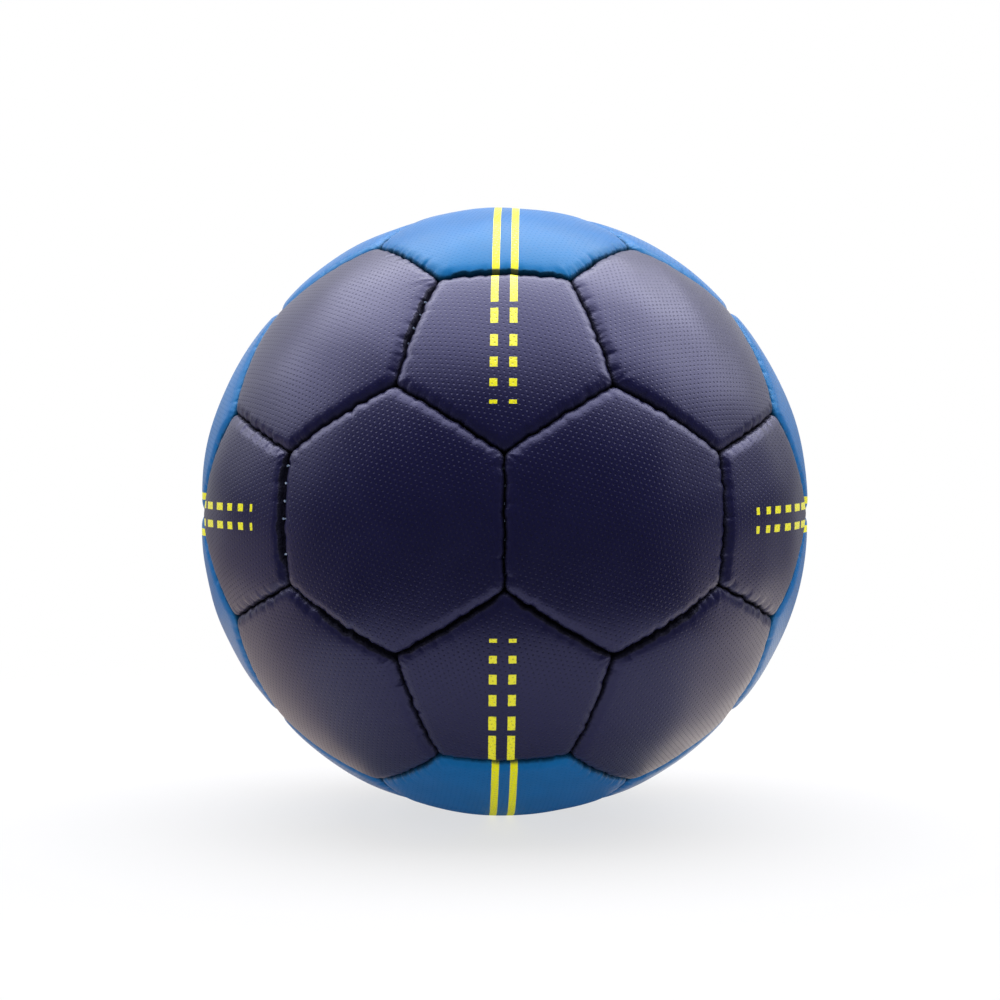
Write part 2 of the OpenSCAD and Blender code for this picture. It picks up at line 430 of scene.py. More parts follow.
def shell_rings(panel, hole=0.0):
    """Rings of points, each with its bearings, and its distance from the outline."""
    rings = []

    def add(bearing, lean, radius, edge, under=False):
        u = directions(panel, lean, bearing)
        rings.append({"bearing": bearing, "u": u, "co": u * np.asarray(radius)[..., None],
                      "edge": np.broadcast_to(edge, bearing.shape), "under": under})

    fine = bearings(panel, fine_per_side)
    half, quarter = fine[::2], fine[::4]
    calm = {len(b): lean_at(panel, b, calm_edge) for b in (fine, half, quarter)}
    hole_lean = hole / ball_r

    def face(bearing, lean, drop=0.0):
        u = directions(panel, lean, bearing)
        edge = edge_distance(panel, u)
        # A gaping edge counts as nearer to the outline, which widens the painted shade in its fold
        dark = at_edges(panel, u)[2] * mm * np.exp(-edge / mm)
        add(bearing, lean, height(panel, u, edge) - drop, edge - dark)

    if hole:
        for out, drop in hole_rim:
            face(quarter, hole_lean + 0 * quarter + out * mm / ball_r, drop * mm)
    for share in np.linspace(0, 1, middle_rings + 1)[1:]:
        bearing = quarter if share < coarse_share else half
        face(bearing, hole_lean + (calm[len(bearing)] - hole_lean) * share)
    lean, last = calm[len(fine)], calm_edge
    for edge in (*slope_edges, *fold_edges):
        lean = lean_at(panel, fine, edge, start=lean + (last - edge) / ball_r)
        last = edge
        face(fine, lean)

    lip, outline = lean, lean_at(panel, fine, 0, lips=False)
    wall_top = np.linalg.norm(rings[-1]["co"], axis=-1)
    tip = flange_t / 2
    for share, shift in wall_steps:
        wall = wall_top + (tip_r + tip - wall_top) * share
        add(fine, lip + (outline - lip) * shift, wall, -share * mm)
    for turn in np.linspace(0, math.pi, tip_rings + 1)[1:]:
        edge = tip * (1 - math.cos(turn))
        lean = lean_at(panel, fine, edge, lips=False, start=outline - edge / ball_r)
        add(fine, lean, tip_r + tip - tip * math.sin(turn), past_tip)

    inner = lean_at(panel, half, flange_t, lips=False)
    below = {len(b): lean_at(panel, b, flange_t + under_gap) for b in (half, quarter)}
    corner = below[len(half)]
    add(half, inner, crown(panel, inner) - skin_t - 2 * mm, past_all, under=True)
    add(half, corner, crown(panel, corner) - skin_t - corner_drop, past_all, under=True)
    for share in np.linspace(1, 0, under_rings + 1)[1:None if hole else -1]:
        lean = hole_lean + (below[len(quarter)] - hole_lean) * share
        add(quarter, lean, crown(panel, lean) - skin_t, past_all, under=True)
    if not hole:
        rings.insert(0, centre_point(panel, top_of(panel), calm_edge * 4, False))
        rings.append(centre_point(panel, crown(panel, 0) - skin_t, past_all, True))
    return rings


def centre_point(panel, radius, edge, under):
    u = panel.axis[None]
    return {"bearing": np.zeros(1), "u": u, "co": u * radius, "edge": np.array([edge]),
            "under": under}


def join_rings(a, b, start_a, start_b):
    """Faces between two rings, of which one may have half the points of the other, or only one."""
    many = max(a, b)
    i = np.arange(many)
    after = (i + 1) % many
    if a == b:
        return np.stack((start_a + i, start_b + i, start_b + after, start_a + after), 1).tolist()
    low, high = (start_a, start_b) if a < b else (start_b, start_a)
    if min(a, b) == 1:
        faces = np.stack((low + 0 * i, high + i, high + after), 1)
    else:
        j = np.arange(min(a, b))
        odd, following = high + 2 * j + 1, low + (j + 1) % len(j)
        made = [(low + j, high + 2 * j, odd), (low + j, odd, following),
                (following, odd, high + (2 * j + 2) % many)]
        faces = np.concatenate([np.stack(m, 1) for m in made])
    return (faces if a < b else faces[:, ::-1]).tolist()


print("rings from the middle to the tip and back")

# %% [markdown]
# Two things are stored on every point for the finishes to read. One is the point's place on the
# flat leather before it was pulled over the ball: the way along the surface from the panel's
# middle, turned to the direction in which that panel was cut. The other is its distance from the
# outline. They could be worked out in the shader from positions, but the leather's grain would then
# smear where the edge turns down.

# %% Store the leather's own coordinates
disc_r, small_middle, small_r = 0.49, 0.08, 0.075


def match(values, count):
    """A ring's values for a neighbour with more or fewer points."""
    if len(values) > count:
        return values[::len(values) // count]
    if len(values) < count:
        values = np.repeat(values, count // len(values), axis=0)
        values[1::2] = (values[1::2] + np.roll(values, -1, axis=0)[1::2]) / 2
    return values


def flat_places(rings, start=0.0):
    """The way along the leather from the panel's middle to every point."""
    ways = [np.full(len(rings[0]["bearing"]), start)]
    for last, ring in zip(rings, rings[1:]):
        count = len(ring["bearing"])
        step = np.linalg.norm(ring["co"] - match(last["co"], count), axis=-1)
        ways.append(match(ways[-1], count) + step)
    return ways


def on_disc(way, bearing):
    return np.stack((way * np.cos(bearing), way * np.sin(bearing)), 1)


def bake_places(panel, rings, ways):
    """Places on the unit square: the outer leather as one disc, the underside as a small one in a
    corner."""
    full = max(w.max() for w, r in zip(ways, rings) if not r["under"])
    main = [0.5 + disc_r * on_disc(w / full, r["bearing"]) for w, r in zip(ways, rings)]
    leans = [np.arccos(np.clip(r["u"] @ panel.axis, -1, 1)) for r in rings]
    widest = max(lean.max() for lean in leans)
    small = [small_middle + small_r * on_disc(lean / widest, r["bearing"])
             for lean, r in zip(leans, rings)]
    return main, small


print("flat places follow the leather round its edges")


# %% Turn rings into a mesh
def add_object(name, data):
    made = bpy.data.objects.new(name, data)
    bpy.context.scene.collection.objects.link(made)
    return made


def piece(name, co, faces, smooth=True):
    mesh = bpy.data.meshes.new(name)
    mesh.from_pydata(co, [], faces)
    mesh.update()
    if smooth:
        mesh.polygons.foreach_set("use_smooth", [True] * len(mesh.polygons))
    return add_object(name, mesh)


def store(mesh, name, kind, values):
    layer = mesh.attributes.new(name, kind, "POINT")
    layer.data.foreach_set("vector" if kind == "FLOAT_VECTOR" else "value", np.ravel(values))


def build_panel(panel, turn, hole=0.0):
    rings = shell_rings(panel, hole)
    co, u, edge = (np.concatenate([r[key] for r in rings]) for key in ("co", "u", "edge"))
    counts = [len(r["bearing"]) for r in rings]
    starts = np.concatenate(([0], np.cumsum(counts)))[:-1]
    ways = flat_places(rings, hole)
    flat = [on_disc(w, r["bearing"] + turn) for w, r in zip(ways, rings)]
    main, small = bake_places(panel, rings, ways)
    faces, islands = [], []
    pairs = list(zip(range(len(rings) - 1), range(1, len(rings))))
    if hole:
        pairs.append((len(rings) - 1, 0))
    for i, j in pairs:
        made = join_rings(counts[i], counts[j], int(starts[i]), int(starts[j]))
        faces += made
        islands += [rings[j]["under"] and j != 0] * len(made)
    made = piece("cover_" + panel.name, co.tolist(), faces)
    mesh = made.data
    store(mesh, "leather_place", "FLOAT_VECTOR", np.pad(np.concatenate(flat), ((0, 0), (0, 1))))
    store(mesh, "from_edge", "FLOAT", edge)
    layer = mesh.uv_layers.new(name="OFBake")
    corner_of = np.array([k for face in faces for k in face])
    below = np.repeat(islands, [len(face) for face in faces])
    uv = np.where(below[:, None], np.concatenate(small)[corner_of], np.concatenate(main)[corner_of])
    layer.data.foreach_set("uv", uv.ravel())
    return made, u


cut_turns = {
    # Directions in which the photographed panels were cut, in degrees
    "hexagon_front_left": 15, "hexagon_front_right": 75, "hexagon_front_left_top": 20,
    "pentagon_front_left": 40, "hexagon_front_left_bottom": 59,
}
cut_seed = 31
turns = np.random.default_rng(cut_seed).uniform(0, math.tau, len(panels))
covers, cover_u = {}, {}
valve_panel = by_name["hexagon_back_right"]
cover_hole = 2.7 * mm
for panel, turn in zip(panels, turns):
    turn = math.radians(cut_turns[panel.name]) if panel.name in cut_turns else turn
    hole = cover_hole if panel is valve_panel else 0.0
    covers[panel.name], cover_u[panel.name] = build_panel(panel, turn, hole)
print(len(covers), "panels,", sum(len(o.data.polygons) for o in covers.values()), "faces")

# %% [markdown]
# The yellow print is the ball's traditional stripes: two bands that run over the light belt, and
# that break up into ever shorter dashes on the dark panels. A print like this is laid on the flat
# leather, so it turns and shifts a little from panel to panel. Each printed panel stores, for every
# point, the distance from the middle of its pair of bands and the way along them.

# %% Lay out the print
band_w = 2.15 * mm
band_gap = 5.33 * mm
x_axis, y_axis, z_axis = np.eye(3)
prints = {}


def lay_print(name, kind, across, towards, shift, turn=0.0):
    """Stores where a panel's points lie on the print, with the way along it counted from the
    panel's middle. The print is shifted by millimetres and turned by degrees."""
    axis, u = by_name[name].axis, cover_u[name]
    along = unit(towards - towards @ axis * axis)
    way = ball_r * np.arctan2(u @ along, u @ axis)
    side = ball_r * np.arcsin(u @ across) - shift * mm - math.tan(math.radians(turn)) * way
    store(covers[name].data, "print_place", "FLOAT_VECTOR", np.stack((side, way, 0 * way), 1))
    prints[name] = kind


# Shifts in millimetres and turns in degrees
for face in ("front", "back"):
    for end, up, dark, light in (("top", z_axis, (-0.19, 0.52), (0.61, 0.65)),
                                 ("bottom", -z_axis, (-0.6, -0.63), (-0.59, -1.2))):
        lay_print(f"pentagon_{face}_{end}", "long dashes", x_axis, up, *dark)
        lay_print(f"hexagon_{face}_{end}", "two bands", x_axis, up, *light)
    for side, out, shift, turn in (("left", -x_axis, 0.2, 0.0), ("right", x_axis, -0.53, 0.9)):
        lay_print(f"pentagon_{face}_{side}", side + " dashes", z_axis, out, shift, turn)
for side, high, low in (("left", 5.24, -5.74), ("right", 4.05, -4.73)):
    lay_print(f"hexagon_{side}_top", "one band", z_axis, y_axis, high)
    lay_print(f"hexagon_{side}_bottom", "one band", z_axis, y_axis, low)
print(len(prints), "printed panels")

# %% [markdown]
# Each seam is sewn with one flat waxed thread. It goes through a pair of holes, runs behind one
# edge to the next pair and comes back through. The route is a list of corners, resampled finely and
# smoothed, because a pulled thread bends softly. A small oval swept along it then makes the thread.
# Where the thread shows in a seam that gapes, it rises between the two edges as a pale bridge.

# %% Lace the seams
thread_w = 0.75 * mm
thread_t = 0.55 * mm
thread_sides = 8
thread_out = flange_t + 0.45 * mm
thread_slack, thread_aside = 0.25 * mm, 0.9 * mm
route_step, route_smoothings = 0.35 * mm, 3
shift_share, bridge_reach, rise_unevenness = 0.4, 2 * mm, 0.5


def lace_route(seam):
    """Points of a thread as the place along the seam and the distance from its plane."""
    corners = []
    for i, s in enumerate(stitch_places + shift_share * seam.shifts):
        out = thread_out + seam.slack
        corners += [(s, -out), (s, out)] if i % 2 == 0 else [(s, out), (s, -out)]
    corners = np.array(corners)
    way = np.concatenate(([0], np.cumsum(np.linalg.norm(np.diff(corners, axis=0), axis=1))))
    at = np.linspace(0, way[-1], int(way[-1] / route_step))
    route = np.stack([np.interp(at, way, corners[:, k]) for k in (0, 1)], 1)
    for _ in range(route_smoothings):
        route[1:-1] = (route[:-2] + route[1:-1] + route[2:]) / 3
    return route, at


def lace(seam):
    """Points, faces and thread coordinates of one seam's thread."""
    inward = next(i for i, s, side in seam.first.edges if s is seam)
    middle, across = seam_middle(inward, seam), -inward
    route, way = lace_route(seam)
    s, off = (route / ball_r).T
    aside, rise = (seam.gap[0] * thread_aside, seam.gap[2]) if seam.gap else (0, 0)
    bridge = np.cos(np.clip((route[:, 1] + aside) / bridge_reach, -1, 1) * math.pi / 2) ** 2
    gape = seam.gape(route[:, 0]) * (1 + rise_unevenness * seam.nicks(route[:, 0]))
    radius = thread_r + bridge * (thread_slack + rise * gape)
    up = (np.cos(s) * np.cos(off))[:, None] * middle + (np.cos(s) * np.sin(off))[:, None] * across
    up = unit(up + np.sin(s)[:, None] * seam.along)
    core = up * radius[:, None]
    beside = np.cross(unit(np.gradient(core, axis=0)), up)
    turn = np.arange(thread_sides) * math.tau / thread_sides
    oval = (np.cos(turn)[None, :, None] * beside[:, None] * thread_w / 2
            + np.sin(turn)[None, :, None] * up[:, None] * thread_t / 2)
    co = (core[:, None] + oval).reshape(-1, 3)
    spin = np.stack(np.broadcast_arrays(way[:, None], np.cos(turn)[None], np.sin(turn)[None]), -1)
    faces = []
    for i in range(len(core) - 1):
        faces += join_rings(thread_sides, thread_sides, i * thread_sides, (i + 1) * thread_sides)
    faces.append(list(range(thread_sides)))
    faces.append([len(co) - 1 - k for k in range(thread_sides)])
    return co, faces, spin.reshape(-1, 3)


def lace_all(name, chosen):
    co, faces, spins = [], [], []
    for seam in chosen:
        points, made, spin = lace(seam)
        start = len(co)
        co += points.tolist()
        faces += [[start + k for k in face] for face in made]
        spins.append(spin)
    made = piece(name, co, faces)
    store(made.data, "thread_place", "FLOAT_VECTOR", np.concatenate(spins))
    print(name, len(chosen), "threads,", len(faces), "faces")
    return made


between_hexagons = [s for s in seams if s.first.sides == s.second.sides == 6]
round_pentagons = [s for s in seams if s not in between_hexagons]
lacings = {
    "hexagon_seam_thread": lace_all("lacing_between_hexagons", between_hexagons),
    "pentagon_seam_thread": lace_all("lacing_round_pentagons", round_pentagons),
}

# %% [markdown]
# Every new piece rides on the ball's one body and stands for the node whose place it takes. The
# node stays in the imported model, where contacts are worked out, and is only hidden here.

# %% Ride and replace
for name, cover in covers.items():
    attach(cover, "root")
    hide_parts(name)
for name, lacing in lacings.items():
    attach(lacing, "root")
    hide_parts(name)
print("every piece rides on the ball")

# %% [markdown]
# Finishes are written as arithmetic. A small class wraps a socket, so that adding or multiplying
# two values adds the Math node that does it. Another class adds all other nodes.

# %% Write shaders as expressions
def arithmetic(operation, swapped=False):
    """A method that adds the Math node of one operation."""
    def method(self, *others):
        inputs = (*others, self) if swapped else (self, *others)
        return self.finish.node("ShaderNodeMath", {"operation": operation}, inputs)
    return method


class Value:
    """A socket of a shader, with the arithmetic used here."""

    def __init__(self, finish, socket):
        self.finish = finish
        self.socket = socket

    __add__ = __radd__ = arithmetic("ADD")
    __sub__, __rsub__ = arithmetic("SUBTRACT"), arithmetic("SUBTRACT", swapped=True)
    __mul__ = __rmul__ = arithmetic("MULTIPLY")
    __truediv__, __abs__ = arithmetic("DIVIDE"), arithmetic("ABSOLUTE")
    sine, cosine = arithmetic("SINE"), arithmetic("COSINE")
    least, most = arithmetic("MINIMUM"), arithmetic("MAXIMUM")


class Finish:
    """A material, or the world's light, being written."""

    def __init__(self, name, world=False):
        self.ending = "ShaderNodeOutputWorld" if world else "ShaderNodeOutputMaterial"
        self.made = bpy.data.worlds.new(name) if world else bpy.data.materials.new(name)
        self.made.use_nodes = True
        self.tree = self.made.node_tree
        self.tree.nodes.clear()

    def node(self, kind, settings, inputs, output=0):
        """Adds a node with its settings and inputs, by order or by name, and gives one output."""
        made = self.tree.nodes.new(kind)
        for key, value in settings.items():
            if key == "stops":
                self.set_stops(made.color_ramp, value)
            else:
                setattr(made, key, value)
        pairs = inputs.items() if isinstance(inputs, dict) else enumerate(inputs)
        for key, value in pairs:
            if isinstance(value, Value):
                self.tree.links.new(value.socket, made.inputs[key])
            else:
                made.inputs[key].default_value = value
        return Value(self, made.outputs[output]) if made.outputs else made

    def set_stops(self, ramp, stops):
        ramp.interpolation = "CONSTANT"
        while len(ramp.elements) < len(stops):
            ramp.elements.new(1)
        for element, (place, level) in zip(ramp.elements, stops):
            element.position = place
            element.color = (level, level, level, 1)

    def split(self, place):
        """The three numbers of a vector."""
        made = self.node("ShaderNodeSeparateXYZ", {}, [place]).socket.node
        return [Value(self, socket) for socket in made.outputs]

    def place(self):
        return self.node("ShaderNodeTexCoord", {}, {}, "Object")

    def glow(self, colour, strength=1.0, kind="Emission"):
        return self.node("ShaderNode" + kind, {}, {"Color": (*colour, 1), "Strength": strength})

    def stored(self, name, output="Vector"):
        return self.node("ShaderNodeAttribute", {"attribute_name": name}, {}, output)

    def rays(self):
        """1 for rays from the camera, from a reflection and through glass."""
        path = self.node("ShaderNodeLightPath", {}, {}).socket.node
        kinds = ("Is Camera Ray", "Is Glossy Ray", "Is Transmission Ray")
        return [Value(self, path.outputs[kind]) for kind in kinds]

    def noise(self, place, scale, detail=2.0):
        inputs = {"Vector": place, "Scale": scale, "Detail": detail}
        return self.node("ShaderNodeTexNoise", {}, inputs)

    def vector(self, operation, *inputs, output=0):
        return self.node("ShaderNodeVectorMath", {"operation": operation}, inputs, output)

    def step(self, value, low, high):
        """A soft step from 0 to 1 as the value goes from low to high."""
        return self.node("ShaderNodeMapRange", {"interpolation_type": "SMOOTHSTEP"},
                         {"Value": value, "From Min": low, "From Max": high})

    def mix(self, share, first, second):
        """A colour between two, by the share of the second."""
        return self.node("ShaderNodeMix", {"data_type": "RGBA"}, {0: share, 6: first, 7: second}, 2)

    def shader(self, constants, **varying):
        """The main shader: constants on its own sockets, and what changes over the surface."""
        bump = varying.pop("bump", None)
        inputs = dict(constants)
        if bump is not None:
            relief = {"Strength": 1.0, "Distance": mm, "Height": bump}
            inputs["Normal"] = self.node("ShaderNodeBump", {}, relief)
        inputs.update({key.replace("_", " "): value for key, value in varying.items()})
        return self.node("ShaderNodeBsdfPrincipled", {}, inputs)

    def surface(self, constants, **varying):
        """The whole material."""
        return self.done(self.shader(constants, **varying))

    def done(self, shader):
        self.node(self.ending, {}, {"Surface": shader})
        return self.made


def shade(r, g, b):
    """A colour written as on a screen, from 0 to 255, as the shader wants it."""
    def linear(c):
        c = c / 255
        return c / 12.92 if c <= 0.04045 else ((c + 0.055) / 1.055) ** 2.4
    return (linear(r), linear(g), linear(b), 1)


print("finishes can be written")

# %% [markdown]
# The leather is a coated hide with rows of small pits, pressed in while it was flat. The rows are
# staggered, so a pit sits in the middle of every four others. Two lattices, one moved by half a
# cell, give that: the distance to the nearest point of either one is the distance to the nearest
# pit. Near the rolled edge the leather was stretched and the pits fade.

# %% Press pits into the leather
pit_across = 1.65 * mm
pit_along = 2.7 * mm
pit_r = 0.42 * mm


def pits(finish, place):
    """1 in the middle of a pit, 0 between the pits."""
    cell = (pit_across, pit_along, 1)
    size = (pit_across, pit_along, 0)
    nearest = None
    for shift in ((0, 0, 0), (0.5, 0.5, 0)):
        counted = finish.vector("ADD", finish.vector("DIVIDE", place, cell), shift)
        from_middle = finish.vector("SUBTRACT", finish.vector("FRACTION", counted), (0.5, 0.5, 0.5))
        far = finish.vector("LENGTH", finish.vector("MULTIPLY", from_middle, size), output="Value")
        nearest = far if nearest is None else nearest.least(far)
    return 1 - finish.step(nearest, 0.1 * pit_r, pit_r)


print(f"pits every {1000 * pit_across:.2f} mm")

# %% [markdown]
# The print's bands come from the stored print places. The distance from the middle of a band gives
# its width, and a ramp with hard stops cuts it into dashes. A little noise on both makes the edge
# of the ink as uneven as screen printing on pitted leather is.

# %% Draw the bands
dash_span = 100 * mm
ragged_w, ink_edge = 0.25 * mm, 0.05 * mm
dashes = {
    # Where each dash begins and ends, in millimetres from the panel's middle towards the light belt
    "long dashes": (
        (-19.7, -18.4), (-14.7, -12.4), (-8.8, -5.8), (-2.2, 1.9), (5.8, 11.0), (13.45, 50)),
    "left dashes": (
        (-14.5, -13.3), (-9.8, -7.1), (-3.8, -0.4), (3.1, 7.9), (12.4, 18.8), (22.5, 50)),
    "right dashes": (
        (-14.5, -12.9), (-9.7, -7.2), (-4.4, -0.8), (2.45, 6.7), (10.4, 16.5), (19.0, 50)),
}


def bands(finish, kind):
    """1 where there is ink."""
    place = finish.stored("print_place")
    across, along, _ = finish.split(place)
    ragged = (finish.noise(place, 1400.0) - 0.5) * ragged_w
    off = abs(across + ragged)
    if kind != "one band":
        off = abs(off - band_gap / 2)
    ink = 1 - finish.step(off, band_w / 2 - ink_edge, band_w / 2 + ink_edge)
    if kind in dashes:
        stops = [(0.0, 0)]
        for start, stop in dashes[kind]:
            stops += [(0.5 + start * mm / dash_span, 1), (0.5 + stop * mm / dash_span, 0)]
        at = 0.5 + (along + ragged) / dash_span
        ink = ink * finish.node("ShaderNodeValToRGB", {"stops": stops}, [at])
    return ink


print("bands", 1000 * band_w, "mm wide")

# %% [markdown]
# The leather's colour, gloss and relief come from the same few patterns: the pits, whose colour
# carries painted shade, a slow cloudiness of the dye, a fine grain, wear along the rolled edge and
# painted shade in the fold. Dark and light hides differ in a few numbers, so one function makes
# every kind, with and without print.

# %% Make the leather
ink_tone = shade(243, 237, 10)
cloud_scale, grain_scale, rim_scale, fray_scale = 70.0, 2600.0, 900.0, 1300.0
base_rough = 0.34
hides = {
    "dark": {"tone": shade(14, 13, 55), "pit_depth": 0.08, "pit_shade": 0.5, "fold_shade_w": 0.75 * mm,
             "gloss": {"Specular IOR Level": 0.62, "Specular Tint": (0.62, 0.62, 1.0, 1)}},
    "light": {"tone": shade(18, 98, 162), "pit_depth": 0.03, "pit_shade": 0.15, "fold_shade_w": 1.1 * mm,
              "gloss": {"Specular IOR Level": 0.21, "Specular Tint": (0.1, 0.9, 1.0, 1)}},
}


def tinted(tone, factor, added=0.0):
    return tuple(min(1, factor * c + added) for c in tone[:3]) + (1,)


def leather(name, kind, tone, gloss, pit_depth, pit_shade, fold_shade_w):
    finish = Finish(name)
    place = finish.stored("leather_place")
    from_edge = finish.stored("from_edge", "Fac")
    calm = finish.step(from_edge, 0.6 * mm, 4.5 * mm)
    pit = pits(finish, place) * (0.25 + calm * 0.75)
    cloudy = finish.noise(place, cloud_scale, 3.0)
    grain = finish.noise(place, grain_scale, 3.0)
    rim = (1 - finish.step(from_edge, 0.3 * mm, 2.0 * mm)) * finish.noise(place, rim_scale, 3.0)
    frayed = 1 - finish.step(from_edge, 0.2 * mm, 1.5 * mm)
    frayed = frayed * (finish.noise(place, fray_scale, 3.0) - 0.5)
    # Painted shade: the fold and the turned-in edge below it are darkened, as the seam's recess lies
    # in shade
    fold = 1 - finish.step(from_edge, 0.0, fold_shade_w)
    colour = finish.mix(cloudy, tinted(tone, 0.8), tinted(tone, 1.12))
    # Painted shade in the pits: the colour darkens in each pit by the hide's pit_shade
    colour = finish.mix(pit * pit_shade, colour, tinted(tone, 0.2))
    colour = finish.mix(rim * 0.8, colour, tinted(tone, 0.9, 0.012))
    rough = base_rough + (cloudy - 0.5) * 0.10 + (grain - 0.5) * 0.12 + fold * 0.35 + pit * 0.2
    relief = (grain - 0.5) * 0.03 + frayed * 0.35 - pit * pit_depth
    if kind:
        ink = bands(finish, kind)
        kept = ink * (1 - pit * 0.35)
        colour = finish.mix(kept, colour, ink_tone)
        rough = rough - ink * 0.06
        relief = relief + ink * 0.02
    # The painted shade of the fold darkens the colour last, over any print
    colour = finish.mix(fold * 0.92, colour, tinted(tone, 0.1))
    return finish.surface(gloss, Base_Color=colour, Roughness=rough, bump=relief)


leathers = {}
for name, cover in covers.items():
    hide, kind = "light" if by_name[name].light else "dark", prints.get(name)
    if (hide, kind) not in leathers:
        words = "_".join([hide, "leather"] + (kind.split() if kind else []))
        leathers[hide, kind] = leather(words, kind, **hides[hide])
    cover.data.materials.append(leathers[hide, kind])
print(len(leathers), "leather finishes")

# %% [markdown]
# What lies under the leather gets its own finishes too: a polyester thread of two twisted plies in
# wax, cotton plies with a plain weave, and rubber. The plies of the thread are a wave that winds
# round the thread as it goes along, read from the coordinates stored on it.

# %% Finish the thread and the inner pieces
ply_pitch, weave_pitch = 1.1 * mm, 1.2 * mm


def waxed_thread():
    finish = Finish("waxed_thread")
    place = finish.stored("thread_place")
    way, cosine, sine = finish.split(place)
    turn = way * (math.tau / ply_pitch)
    ply = turn.sine() * cosine + turn.cosine() * sine
    fuzz = finish.noise(place, 3000.0)
    share = 0.5 + ply * 0.4 + (fuzz - 0.5) * 0.6
    colour = finish.mix(share, shade(96, 122, 162), shade(196, 212, 236))
    return finish.surface({"Sheen Weight": 0.2}, Base_Color=colour, Roughness=0.42 + fuzz * 0.1,
                          bump=abs(ply) * 0.08)


def cloth(name, thread, gap):
    finish = Finish(name)
    place = finish.place()
    weave = sum((axis * (math.tau / weave_pitch)).sine() for axis in finish.split(place))
    fuzz = finish.noise(place, 1800.0, 4.0)
    share = 0.5 + weave * 0.14 + (fuzz - 0.5) * 0.4
    return finish.surface({"Sheen Weight": 0.3}, Base_Color=finish.mix(share, gap, thread),
                          Roughness=0.82 + fuzz * 0.12, bump=weave * 0.04 + fuzz * 0.04)


def rubber(name, tone, worn, bloom):
    finish = Finish(name)
    place = finish.place()
    dust = finish.noise(place, 120.0, 5.0)
    grain = finish.noise(place, 2400.0, 3.0)
    colour = finish.mix(finish.step(dust, 0.45, 0.75) * bloom, tone, worn)
    return finish.surface({"Specular IOR Level": 0.4}, Base_Color=colour,
                          Roughness=0.5 + dust * 0.2, bump=grain * 0.02 + dust * 0.04)


padding = cloth("padding_cloth", shade(226, 220, 200), shade(176, 168, 146))
bladder = rubber("bladder_rubber", shade(34, 33, 34), shade(88, 86, 84), 0.5)
valve = rubber("valve_rubber", shade(20, 20, 22), shade(52, 52, 54), 0.4)
patch = cloth("patch_cloth", shade(214, 210, 198), shade(150, 146, 134))
inner_finishes = {
    "hexagon_padding": padding, "pentagon_padding": padding, "bladder": bladder,
    "valve_housing": valve, "valve_core": valve, "valve_patch": patch,
}
for node, material in inner_finishes.items():
    nodes[node].data.materials.clear()
    nodes[node].data.materials.append(material)
thread_finish = waxed_thread()
for lacing in lacings.values():
    lacing.data.materials.append(thread_finish)
print(len(inner_finishes), "inner pieces finished")

# %% [markdown]
# The photograph was taken level with the ball, from about seven radii away, so a long lens is used.
# The camera looks a touch above and left of the ball's centre, which puts the ball where it lies in
# the picture without any shift of the lens.

# %% Place the camera
frame_px = 1000
focal_px = 2111.4
ball_px = (504.4, 511.35)
camera_far = 7.0 * ball_r
camera_up = 0.031


def aim(thing, at):
    """Turns a camera or a lamp towards a point."""
    thing.rotation_euler = (Vector(at) - thing.location).to_track_quat("-Z", "Y").to_euler()


camera_data = bpy.data.cameras.new("camera")
camera = add_object("camera", camera_data)
bpy.context.scene.camera = camera
camera_data.sensor_width = 36
camera_data.lens = camera_data.sensor_width * focal_px / frame_px
camera.location = (0, -camera_far * math.cos(camera_up), camera_far * math.sin(camera_up))
px = camera_far / focal_px
aim(camera, ((frame_px / 2 - ball_px[0]) * px, 0, (ball_px[1] - frame_px / 2) * px))
print(f"camera {camera_far:.3f} m away with a {camera_data.lens:.0f} mm lens")

# %% [markdown]
# The light is a plain studio: two wide soft boxes overhead, of which the far one is the stronger, a
# smaller one high at each side, and a little light from all round. The background is white only to
# the camera and in reflections, and what it sheds on the ball is that little light.

# %% Light the studio
lamp_tone = (0.93, 0.93, 1.0)
ambient_light, white_light = 0.4, 1.0


def soft_box(name, place, size, radiance, towards=(0, 0, 0)):
    data = bpy.data.lights.new(name, "AREA")
    data.shape = "RECTANGLE"
    data.size, data.size_y = size
    data.energy = radiance * math.pi * size[0] * size[1]
    data.color = lamp_tone
    lamp = add_object(name, data)
    lamp.location = place
    aim(lamp, towards)
    lamp.visible_camera = False


soft_box("box_over_near", (0.1, -0.22, 0.85), (1.7, 0.54), 2.75, towards=(0.1, -0.22, 0))
soft_box("box_over_far", (0.05, 0.35, 0.85), (1.7, 0.6), 4.95, towards=(0.05, 0.35, 0))
soft_box("box_left", (-1.0, 0.15, 0.65), (0.75, 0.35), 3.3)
soft_box("box_right", (1.0, 0.15, 0.65), (0.75, 0.35), 2.9)

studio = Finish("studio", world=True)
to_camera, mirrored, through = studio.rays()
ambient, white = (studio.glow((1, 1, 1), strength, "Background")
                  for strength in (ambient_light, white_light))
seen = to_camera.most(mirrored.most(through))
both = studio.node("ShaderNodeMixShader", {}, [seen, ambient, white])
bpy.context.scene.world = studio.done(both)
print("lit by four soft boxes")

# %% [markdown]
# The floor is a light table, a milky sheet that glows a little, so it lights the ball from below as
# well. To the camera and in reflections most of it is white, and round the ball a share of its own
# lit colour stays, which keeps the ball's soft shadow.

# %% Lay the floor
floor_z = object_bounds()[0].z
floor_half = 4.0
shadow_share, shadow_reach = 0.35, 0.5
under_ball, past_ball, table_glow = 0.08, 0.3, 0.55


def stage_mesh(name, co, faces, material):
    made = piece(name, co, faces, smooth=False)
    made.data.materials.append(material)
    return made


